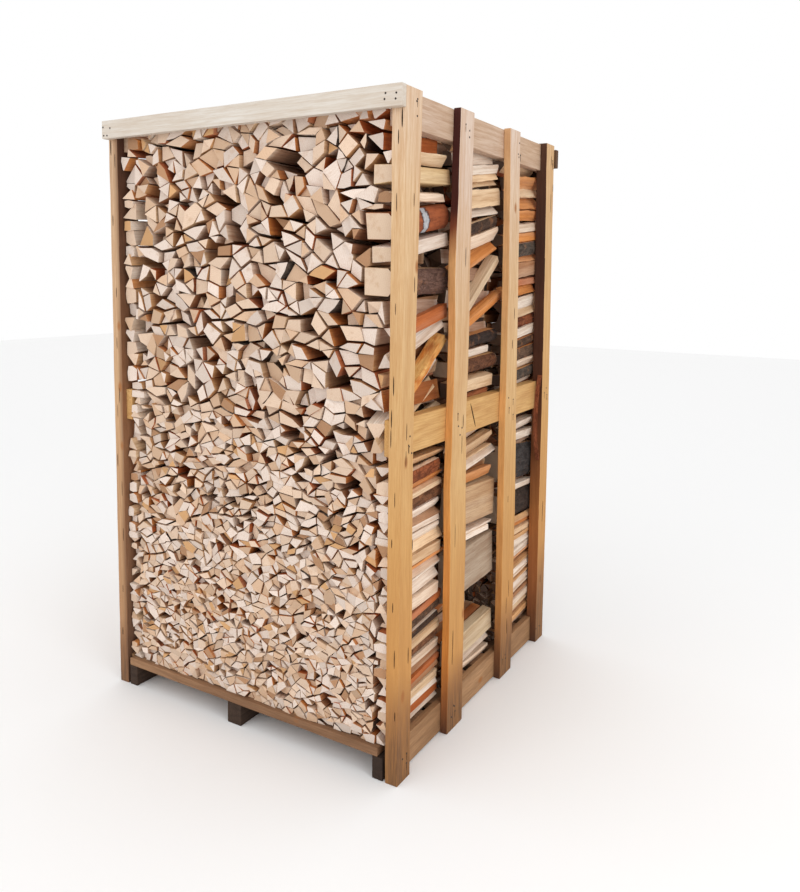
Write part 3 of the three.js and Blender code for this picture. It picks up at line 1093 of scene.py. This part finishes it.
def cross_section(rng, width, height, after):
    """A split's section, its inner bottom corner at the origin, its bark flags and its kind."""
    u = rng.uniform(-1, 1, 8)
    kind = str(rng.choice(KINDS, p=AFTER_ROOF if after == "roof" else KIND_SHARES))
    if kind == "billet":
        points = [(0.03, 0.1 + 0.12 * u[0]), (0.5, 0.02 * u[1]),
                  (0.94 + 0.06 * u[2], 0.1 + 0.1 * u[3]), (0.92 + 0.08 * u[4], 0.86 + 0.12 * u[5]),
                  (0.5, 0.98), (0.1 + 0.1 * u[7], 0.86 + 0.14 * u[6])]
    elif kind == "roof":
        tip = 0.5 + 0.42 * u[0]
        points = [(0, 0), (0.92 + 0.08 * u[1], 0.08 + 0.06 * u[2]), (1, 0.14), (tip + 0.04, 1),
                  (tip - 0.05, 0.97)]
    elif kind == "keel":
        tip = 0.55 + 0.4 * u[0]
        points = [(tip - 0.05, 0.03), (tip + 0.05, 0), (1, 0.76 + 0.12 * u[1]), (0.95, 0.97),
                  (0, 0.92 + 0.08 * u[2])]
    else:
        points = [(0, 0.12), (0.5, 0.03), (0.88, 0.02), (0.97, 0.3), (1, 0.6), (0.9, 0.97), (0.5, 1),
                  (0, 0.8)]
    flags = [0, 0, 1, 1, 1, 1, 0, 0] if kind == "log" else [0] * len(points)
    return np.array(points) * [width, height], flags, kind


# %% [markdown]
# The layer grows upwards. Each split takes half its slope from the one below and half from the usual
# climb, or from an odd piece that is close above. A split that would touch an odd piece is thrown
# away, and after a few vain tries the odd piece's top becomes the new ground.


# %% Lay the splits against a wall
THINNEST = 12                     # millimetres
LOOK_AHEAD = 150                  # millimetres below an odd piece, where the slopes turn to its own
VAIN_TRIES = 6


def wall_layer(rng, side, low, high, half_width, steps, odd, climb, restless):
    """Splits laid one on another against a wall. odd lists the pieces in the way: underside, top, and
    whether the room above is left open up to the next one. climb is the usual slope, and restless is
    how much it varies."""
    ground = np.full(len(STATIONS), low + 0.0)
    laid, slope, misses, kind = [], 0.02, 0, ""
    waiting = sorted(odd, key=lambda piece: piece[0].mean())
    while ground.min() < high - THINNEST:
        size = np.interp(ground.mean(), LEVELS, PIECE_SIZE)
        height = size * rng.uniform(0.4, 0.92) * (0.7 if misses > 2 else 1.0)
        target = climb
        if waiting and waiting[0][0].min() - ground.mean() < LOOK_AHEAD:
            line = waiting[0][0]
            target = (line[-1] - line[0]) / (2 * HALF_SPLIT) * 0.85
        slope = np.clip(0.5 * slope + 0.5 * target + rng.normal(0, restless), -0.05, 0.6)
        rest = (ground - slope * STATIONS).max()
        under = rest + slope * STATIONS
        top = under + height
        in_the_way = bool(waiting) and (top > waiting[0][0] + 3).any()
        if not in_the_way and top.max() > high + 2:
            height = high - under.max()
            top = under + height
            if height < THINNEST:
                break
        if in_the_way:
            misses += 1
            if misses > VAIN_TRIES:
                line, crest, open_above = waiting.pop(0)
                if open_above and waiting:
                    line, crest, open_above = waiting.pop(0)
                ground = np.maximum(ground, crest) - 1
                slope, misses = (crest[-1] - crest[0]) / (2 * HALF_SPLIT), 0
            continue
        misses = 0
        reach = min(reach_at(z, half_width, steps) for z in np.linspace(under.min(), top.max(), 9))
        depth = next(d for a, b, d in LAYER if a <= under.mean() < b)
        width = depth * rng.uniform(0.6, 1.05)
        points, flags, kind = cross_section(rng, width, height, kind)
        outer = reach - rng.exponential(2.5)
        points = points + [outer - width, rest]
        if side < 0:
            points, flags = (points * [-1, 1])[::-1], flags[::-1]
        laid.append({"points": points, "bark": flags, "slope": slope, "wall": True, "inner": outer - width,
                     "rise": (rest, height)})
        ground = top - height * (0.3 if kind == "roof" else rng.choice([0.0, 0.1]))
    return laid


# %% [markdown]
# ### Colours of the wood
#
# Fresh splits are cream to pink inside, drier ones tan, and the alder among them has turned orange.
# Sawn ends are paler than torn sides. Each split picks a colour from a short list, some more often
# than others, and makes it a little lighter or darker. At the walls more of them are pale or orange.

# %% Colours of the wood
SIDE_TINTS = [shade(238, 222, 206), shade(226, 194, 156), shade(214, 166, 116), shade(216, 142, 76),
              shade(190, 106, 54), shade(174, 126, 90), shade(232, 208, 184)]
SIDE_SHARES = [0.26, 0.17, 0.14, 0.13, 0.07, 0.08, 0.15]
WALL_SHARES = [0.32, 0.19, 0.08, 0.14, 0.08, 0.05, 0.14]
END_TINTS = [shade(222, 207, 196), shade(217, 192, 170), shade(206, 174, 146), shade(202, 156, 108),
             shade(166, 124, 92)]
END_SHARES = [0.46, 0.3, 0.17, 0.03, 0.04]
BARK_TINTS = [shade(104, 78, 60), shade(132, 88, 60), shade(152, 84, 50), shade(96, 84, 74),
              shade(76, 56, 44)]


def pick_tints(rng, tints, shares, count, spread=0.06):
    chosen = np.array(tints)[rng.choice(len(tints), count, p=shares)]
    return np.clip(chosen * rng.normal(1, spread, (count, 1)), 0, 1)


# %% [markdown]
# ### From outline to split
#
# Every outline becomes one flat face, all faces are extruded at once to the splits' length, and
# their long edges are cut into a few lengths, more of them at the walls, where the sides are seen.


# %% Turn outlines into splits
SPLIT_LENGTH = 0.326
LENGTH_CUTS = 3
WALL_CUTS = 9


def extruded_splits(splits, start_y):
    """All outlines drawn out together. Outlines are in millimetres."""
    bm = bmesh.new()
    which = bm.verts.layers.float.new("which")
    barky = bm.verts.layers.float.new("barky")
    number = bm.verts.layers.float.new("number")
    for index, split in enumerate(splits):
        corners = []
        for (x, z), flag in zip(split["points"], split["bark"]):
            vert = bm.verts.new((x * MM, start_y, z * MM))
            vert[which] = index
            vert[barky] = flag
            vert[number] = len(bm.verts)
            corners.append(vert)
        bm.faces.new(corners)
    grown = bmesh.ops.extrude_face_region(bm, geom=bm.faces[:], use_keep_orig=True)
    far = [g for g in grown["geom"] if isinstance(g, bmesh.types.BMVert)]
    bmesh.ops.translate(bm, verts=far, vec=(0, SPLIT_LENGTH, 0))
    long_edges = {False: [], True: []}
    for edge in bm.edges:
        if abs(edge.verts[0].co.y - edge.verts[1].co.y) > SPLIT_LENGTH / 2:
            long_edges["wall" in splits[round(edge.verts[0][which])]].append(edge)
    bmesh.ops.subdivide_edges(bm, edges=long_edges[False], cuts=LENGTH_CUTS)
    bmesh.ops.subdivide_edges(bm, edges=long_edges[True], cuts=WALL_CUTS)
    bmesh.ops.recalc_face_normals(bm, faces=bm.faces)
    for face in bm.faces:
        if abs(face.normal.y) > 0.9:
            face.material_index = 0
        else:
            face.material_index = 2 if min(v[barky] for v in face.verts) > 0.5 else 1
    return bm


# %% [markdown]
# Then each split gets a life of its own. It starts a little further forward or back, its saw cuts are
# a touch askew, it slopes, bends and tapers slightly, and its torn sides are uneven. The numbers are
# drawn once for each split and handed to its corners through the attribute `which`. How uneven a
# corner is goes by its own `number`, since the operators may leave the corners in any order.


# %% Give each split a life of its own
FAR_BACK = 0.14                   # share of the splits that lie well behind their neighbours


def shape_splits(mesh, splits, start_y, slope_at, rng, row):
    """Moves each split's corners so that no two are alike, then colours them."""
    count = len(splits)
    middle = np.array([split["points"].mean(0) for split in splits]) * MM
    at_wall = np.array(["wall" in split for split in splits])
    co = corners_of(mesh)
    index = np.zeros(len(co))
    mesh.attributes["which"].data.foreach_get("value", index)
    index = np.rint(index).astype(int)
    share = (co[:, 1] - start_y) / SPLIT_LENGTH

    coarse = np.interp(middle[:, 1] / MM, LEVELS, PIECE_SIZE) / PIECE_SIZE[-1]
    setback = np.abs(rng.normal(0, 0.009, count))
    setback = setback + (rng.random(count) < FAR_BACK) * rng.uniform(0.01, 0.036, count)
    setback *= coarse
    length = SPLIT_LENGTH - rng.uniform(0, 0.012, count) - at_wall * rng.uniform(0, 0.022, count)
    if row == "back":
        setback = SPLIT_LENGTH - length - setback
    skew = rng.normal(0, 0.08, (count, 2))
    free = np.array([slope_at(x, z) for x, z in middle]) + rng.normal(0, 0.014, count)
    slope = np.array([split.get("slope", given) for split, given in zip(splits, free)])
    yaw = np.where(at_wall, rng.normal(0, 0.003, count), rng.normal(0, 0.008, count))
    bend = rng.normal(0, 0.0022, (count, 2)) * np.where(at_wall, 0.6, 1.0)[:, None]
    taper = rng.normal(0, 0.05, count)

    aside = co[:, [0, 2]] - middle[index]
    y = start_y + setback[index] + share * length[index]
    end_weight = np.abs(2 * share - 1)
    y = y + (aside * skew[index]).sum(1) * end_weight
    arch = np.sin(math.pi * share)
    number = np.zeros(len(co))
    mesh.attributes["number"].data.foreach_get("value", number)
    ragged = np.zeros(len(co))
    ragged[np.lexsort((np.rint(share * 100), np.rint(number)))] = rng.normal(0, 0.0009, len(co))
    ragged *= arch
    swell = 1 - 0.012 - taper[index] * (share - 0.5)
    from_middle = y - (start_y + SPLIT_LENGTH / 2)
    x = middle[index, 0] + aside[:, 0] * swell + bend[index, 0] * arch + yaw[index] * from_middle + ragged
    z = middle[index, 1] + aside[:, 1] * swell + bend[index, 1] * arch + slope[index] * from_middle + ragged
    mesh.vertices.foreach_set("co", np.stack([x, y, z], 1).ravel())
    mesh.update()

    colour_splits(mesh, index, at_wall, rng)
    heart_angle = rng.uniform(0, 2 * math.pi, count)
    heart = np.stack([np.cos(heart_angle), np.sin(heart_angle)], 1) * rng.uniform(0.03, 0.14, (count, 1))
    lot = rng.uniform(-3, 3, count)
    grain = np.stack([aside[:, 0] + heart[index, 0], y + lot[index], aside[:, 1] + heart[index, 1]], 1)
    write_attribute(mesh, "grain", "FLOAT_VECTOR", grain)
    # Painted shade on the sides of splits inside the stack; those at the walls and the top get none.
    in_the_light = at_wall | (middle[:, 1] > stack_top * MM - 0.06)
    write_attribute(mesh, "crevice_shade", "FLOAT", np.where(in_the_light[index], 0.0, (arch > 1e-3)))
    # The ends that face another row get painted shade.
    shut_end_shade = (share < 0.01) * (row != "front") + (share > 0.99) * (row != "back")
    write_attribute(mesh, "shut_end_shade", "FLOAT", shut_end_shade * 1.0)


def colour_splits(mesh, index, at_wall, rng):
    """Picks every split's colours and stores them at its corners."""
    count = len(at_wall)
    ones = np.ones((len(index), 1))
    sides = pick_tints(rng, SIDE_TINTS, SIDE_SHARES, count)
    at_walls = pick_tints(rng, SIDE_TINTS, WALL_SHARES, count)
    tints = {"tint": np.where(at_wall[:, None], at_walls, sides),
             "end_tint": pick_tints(rng, END_TINTS, END_SHARES, count, 0.09),
             "bark_tint": pick_tints(rng, BARK_TINTS, [0.2] * 5, count)}
    for name, values in tints.items():
        write_attribute(mesh, name, "FLOAT_COLOR", np.hstack([values[index], ones]))


# %% [markdown]
# The three rows take their places from the frame's stand-in solids. The room beside the rails and
# around the odd pieces is read from the frame too, so nothing is measured twice. The mosaic ends
# behind the wall layer, whose splits lie at a slant, so the place where each row shows decides.

# %% What stands in the way of the mosaic
SINGLES = [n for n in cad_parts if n.startswith(("split_", "round_", "board_"))]
OVERLAP = 0.38                    # of the wall layer's thickness, that the mosaic fills behind it
beside_rails = []
for level in ("base", "middle", "top"):
    low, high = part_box(f"rail_{level}_right")
    beside_rails.append((low.z / MM - 3, high.z / MM + 3, low.x / MM - 1))


def singles_in(row):
    """The odd pieces whose middle lies in this row."""
    low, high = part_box(f"firewood_{row}_lower")
    found = []
    for name in SINGLES:
        a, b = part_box(name)
        if low.y < (a.y + b.y) / 2 < high.y:
            found.append(name)
    return found


def core_steps(steps, laid, odd, station):
    """Where the mosaic ends: behind each piece of the wall layer, at the end of the row that shows."""
    found = []
    for low, high, depth in LAYER:
        found.append((low, high, half_width - OVERLAP * depth))
        found += [(max(low, a), min(high, b), reach - OVERLAP * depth)
                  for a, b, reach in steps if a < high and b > low]
    for split in laid:
        rest, height = split["rise"]
        level = rest + split["slope"] * station
        found.append((level - 5, level + height + 5, split["inner"] - 1.5))
    for name, (under, top, open_above) in odd.items():
        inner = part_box(name)[0].x / MM - 1.5
        found.append((np.interp(station, STATIONS, under) - 4, np.interp(station, STATIONS, top) + 4, inner))
        if open_above:
            ceiling = min(other[0].mean() for other in odd.values() if other[0].mean() > top.mean())
            found.append((top.mean(), ceiling, inner - HOLE_DEPTH))
    return found


# %% [markdown]
# Every row gets its own seed, wall layers on both sides and a mosaic between them. The row's slopes
# waver gently from course to course. Each row is cut in two lifts, as in the frame.

# %% Fill the rows
SHOWS_AT = {"front": -HALF_SPLIT, "middle": 0.0, "back": HALF_SPLIT}
CLIMB = {"front": (0.05, 0.03), "middle": (0.12, 0.035), "back": (0.08, 0.016)}     # and how restless
LEFT_CLIMB = (0.045, 0.006)
for number, row in enumerate(SHOWS_AT):
    rng = np.random.default_rng(100 + number)
    start_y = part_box(f"firewood_{row}_lower")[0].y
    if row == "back":
        start_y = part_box(f"firewood_{row}_lower")[1].y - SPLIT_LENGTH
    odd = {name: (*lines_of(name), name == "board_offcut") for name in singles_in(row)}
    low, high = deck_top + 1, stack_top + 13
    in_the_way = list(odd.values())
    right_layer = wall_layer(rng, 1, low, high, half_width, beside_rails, in_the_way, *CLIMB[row])
    left_layer = wall_layer(rng, -1, low, high, half_width, beside_rails, [], *LEFT_CLIMB)
    loop = room_loop(rng, low, high, half_width, core_steps(beside_rails, left_layer, {}, SHOWS_AT[row]),
                     core_steps(beside_rails, right_layer, odd, SHOWS_AT[row]))
    splits = finished_outlines(rng, mosaic(rng, loop, low, high, half_width)) + right_layer + left_layer
    phase = rng.uniform(0, 6, 3)

    def slope_at(x, z, phase=phase):
        calm = np.interp(z, [0.1, 0.16, 1.8, 1.88], [0, 1, 1, 0])
        return calm * (0.03 * math.sin(z * 9 + phase[0]) + 0.025 * math.sin(z * 23 + phase[1] + x * 3))

    for level in ("lower", "upper"):
        part = [s for s in splits if (s["points"][:, 1].mean() * MM < parting) == (level == "lower")]
        node = f"firewood_{row}_{level}"
        piece = make_piece(node + "_splits", extruded_splits(part, start_y), [END, SIDE, BARK],
                           "firewood", [node])
        shape_splits(piece.data, part, start_y, slope_at, rng, row)
        print(row, "row,", level, "lift:", len(part), "splits")

# %% [markdown]
# ## The odd pieces
#
# Thirteen pieces in the right wall are worth their own treatment: bark-covered rounds, a split whose
# bark peels, an alder split that lies askew, wide slabs and an offcut of a board. Each starts from
# its solid in the frame. Bisecting cuts along its length and a grid over its faces give the surface
# something to move, and two layers of noise make it lumpy where there's bark and wavy where it's torn.


# %% Odd piece helper
def frame_slot(name):
    """The slot that the frame gives an odd piece."""
    with_bark = name.startswith("round_") or name.endswith("_bark") or name == "split_wide_grey"
    return "bark" if with_bark else "split"


def odd_piece(rng, name, tint, bark_tint=None, lumps=0.0022, skin=None):
    """A detailed copy of a frame solid. With a bark tint, its outer faces carry bark."""
    low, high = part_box(name)
    bm = solid_of(name)
    longest = max(bm.edges, key=lambda e: e.calc_length())
    axis = (longest.verts[1].co - longest.verts[0].co).normalized()
    axis = axis if axis.y > 0 else -axis
    across = Vector((1, 0, 0))
    rise = across.cross(axis)
    middle = (low + high) / 2
    length = longest.calc_length()
    round_arrises(bm, 25, 0.0016, 1)
    for step in range(1, 16):
        cut_across(bm, middle + axis * (step / 16 - 0.5) * length, axis)
    extent = max(abs((v.co - middle).dot(rise)) for v in bm.verts)
    for step in range(-4, 5):
        cut_across(bm, middle + rise * extent * step / 5, rise)
    bm.normal_update()
    for face in bm.faces:
        if abs(face.normal.dot(axis)) > 0.8:
            face.material_index = 0
        else:
            face.material_index = 2 if bark_tint is not None and face.normal.x > 0.1 else 1
    lot = Vector(rng.uniform(-5, 5, 3))
    for vert in bm.verts:
        coarse = noise.noise((vert.co + lot) * 16.0)
        fine = noise.noise((vert.co - lot) * 55.0)
        inside = min(1.0, 0.25 + (vert.co.x - low.x) / (high.x - low.x))
        vert.co -= vert.normal * lumps * (1.3 + coarse + 0.6 * fine) * 0.7 * inside
    piece = make_piece(name + "_wood", bm, [END, SIDE, skin or BARK], frame_slot(name), [name])
    mesh = piece.data
    co = corners_of(mesh) - np.array(middle)
    grain = np.stack([co[:, 0] + 0.07, co @ np.array(axis), co @ np.array(rise) + 0.02], 1)
    write_attribute(mesh, "grain", "FLOAT_VECTOR", grain)
    tint_whole(mesh, tint=tint, end_tint=shade(216, 192, 168), bark_tint=bark_tint or tint)
    for label in ("crevice_shade", "shut_end_shade"):
        write_attribute(mesh, label, "FLOAT", np.zeros(len(co)))
    return piece


# %% [markdown]
# Two slabs with bark on stand upright in the back corners and close the ends of the last row. They
# fill the room where only shade shows behind the wood, and their dark bark stands in for that shade.


# %% Upright bark slabs, standing in for shade
def upright_grain(mesh):
    """Stores a grain that runs upwards."""
    co = corners_of(mesh)
    write_attribute(mesh, "grain", "FLOAT_VECTOR", np.stack([co[:, 0], co[:, 2], co[:, 1]], 1))


def bark_slab_for_shade(name, rng):
    low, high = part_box(name)
    bm = solid_of(name)
    round_arrises(bm, 60, 0.0015, 1)
    for step in range(1, 60):
        cut_across(bm, (0, 0, low.z + (high.z - low.z) * step / 60), (0, 0, 1))
    bm.normal_update()
    lot = Vector(rng.uniform(-5, 5, 3))
    for face in bm.faces:
        face.material_index = 0 if abs(face.normal.z) > 0.8 else 1
    for vert in bm.verts:
        inside = min(1.0, (vert.co.z - low.z) / 0.01, (high.z - vert.co.z) / 0.01)
        vert.co -= vert.normal * 0.0022 * (1.2 + noise.noise((vert.co + lot) * 22.0)) * inside
    mesh = make_piece(name + "_wood", bm, [END, BARK], "bark", [name]).data
    upright_grain(mesh)
    # Dark bark, which stands in for the shade behind the last row.
    tint_whole(mesh, end_tint=shade(196, 160, 124), bark_tint=shade(84, 60, 46))
    write_attribute(mesh, "shut_end_shade", "FLOAT", np.zeros(len(mesh.vertices)))
    print(name, "has", len(mesh.polygons), "faces")


rng = np.random.default_rng(57)
for side in ("right", "left"):
    bark_slab_for_shade("slab_back_" + side, rng)

# %% [markdown]
# A strip of red-brown bark has come off the back right post's edge halfway up. It still hangs on
# at both ends and bows out in between. It starts as a flat grid, is bent, and gets a thickness.

# %% The loose strip of bark
STRIP_FOOT, STRIP_HEAD = 0.744, 1.075
STRIP_WIDTH = 0.017
STRIP_BOW = 0.034                 # how far it stands off the post halfway up
POST_EDGE = 0.505                 # where the post's front edge is at that height
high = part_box("post_back_right")[1]
strip = bmesh.new()
bmesh.ops.create_grid(strip, x_segments=1, y_segments=18, size=0.5)
for vert in strip.verts:
    share = vert.co.y + 0.5
    bow = STRIP_BOW * math.sin(math.pi * share) ** 0.8
    vert.co = Vector((high.x - 0.010 + vert.co.x * STRIP_WIDTH, POST_EDGE - 0.0035 - bow,
                      STRIP_FOOT + (STRIP_HEAD - STRIP_FOOT) * share))
bmesh.ops.solidify(strip, geom=strip.faces[:], thickness=0.0025)
bmesh.ops.recalc_face_normals(strip, faces=strip.faces)
strip_mesh = make_piece("loose_bark_strip", strip, [BARK], "bark").data
upright_grain(strip_mesh)
tint_whole(strip_mesh, bark_tint=shade(150, 84, 54))
print("the strip of bark has", len(strip_mesh.polygons), "faces")

# %% [markdown]
# The peeling bark is red-brown, and one strip of it has come off and left a grey-white patch across
# the split, with a dark rim. The alder is orange, with a knotty lump of a darker orange.


# %% Peeling bark
PATCH_AT = 0.036                  # metres along the grain, from the split's middle
RAGGED = 0.036


def peeling_bark(name):
    finish = Finish(name)
    grain = finish.attribute("grain", "Vector")
    tint = finish.attribute("bark_tint", "Color")
    streaks = finish.noise(finish.squeeze(grain, (1, 0.25, 1)), 60, 4, 0.65)
    colour = finish.mix(finish.ramp(streaks, [(0.35, 0.7), (0.6, 0.0)]), tint, shade(92, 44, 26))
    along_grain = finish.node("SeparateXYZ", {}, Vector=grain).outputs["Y"]
    ragged = finish.sum("MULTIPLY", finish.noise(grain, 40, 4, 0.7), RAGGED)
    level = finish.sum("ADD", along_grain, ragged)
    from_patch = finish.sum("ABSOLUTE", finish.sum("ADD", level, -PATCH_AT))
    colour = finish.mix(finish.ramp(from_patch, [(0.016, 0.85), (0.022, 0.0)]), colour, shade(44, 40, 44))
    blotch = finish.mix(finish.noise(grain, 110, 3), shade(206, 204, 204), shade(132, 134, 140))
    colour = finish.mix(finish.ramp(from_patch, [(0.011, 1.0), (0.015, 0.0)]), colour, blotch)
    normal = finish.bump(streaks, 0.8, 0.004)
    normal = finish.bump(finish.ramp(from_patch, [(0.011, 0.0), (0.016, 1.0)]), 0.8, 0.003, normal)
    return finish.done(colour, 0.85, normal)


# %% Alder
def alder(name):
    finish = Finish(name)
    grain = finish.attribute("grain", "Vector")
    fibres = finish.noise(finish.squeeze(grain, (1, 0.05, 1)), 200, 4, 0.7)
    waves = finish.noise(finish.squeeze(grain, (1, 0.3, 1)), 30, 3, 0.6, 1.0)
    colour = finish.mix(finish.ramp(waves, [(0.38, 0.0), (0.6, 1.0)]), shade(232, 184, 112),
                        shade(204, 124, 54))
    colour = finish.mix(finish.ramp(fibres, [(0.3, 0.5), (0.6, 0.0)]), colour, shade(150, 82, 34))
    lumps = finish.cells(finish.squeeze(grain, (1, 0.5, 1)), 22)
    colour = finish.mix(finish.ramp(lumps, [(0.1, 0.85), (0.2, 0.5), (0.3, 0.0)]), colour,
                        shade(160, 88, 40))
    normal = finish.bump(waves, 0.9, 0.008)
    normal = finish.bump(fibres, 0.4, 0.0015, normal)
    return finish.done(colour, 0.8, normal)


# %% [markdown]
# Each odd piece is described by its wood, its bark if it has any, and how deep its lumps are: hardly
# any on a sawn board, a millimetre on clean splits, and several on rough bark.

# %% Make the odd pieces
ODD_PIECES = {
    "split_pale_top": (shade(222, 190, 140), None, 0.001),
    "split_peeling_bark": (shade(190, 120, 74), shade(160, 86, 50), 0.0022, peeling_bark("peeling_bark")),
    "split_broad_cream": (shade(228, 212, 200), None, 0.001),
    "round_dark_bark": (shade(196, 160, 120), shade(116, 86, 74), 0.002),
    "split_orange_alder": (shade(214, 150, 80), shade(214, 150, 80), 0.003, alder("alder")),
    "split_crossing": (shade(212, 184, 150), None, 0.001),
    "split_black_bark": (shade(200, 140, 84), shade(62, 48, 42), 0.003),
    "split_brown_bark": (shade(206, 160, 110), shade(116, 74, 50), 0.003),
    "split_wide_tan": (shade(196, 160, 122), None, 0.0015),
    "split_wide_grey": (shade(172, 150, 128), None, 0.0022),
    "board_offcut": (shade(208, 184, 150), None, 0.0006),
    "round_charcoal_bark": (shade(190, 150, 110), shade(72, 66, 64), 0.004),
    "round_rough_bark": (shade(190, 150, 110), shade(70, 56, 48), 0.004),
}
rng = np.random.default_rng(41)
for name, looks in ODD_PIECES.items():
    odd_piece(rng, name, *looks)
print(len(ODD_PIECES), "odd pieces")
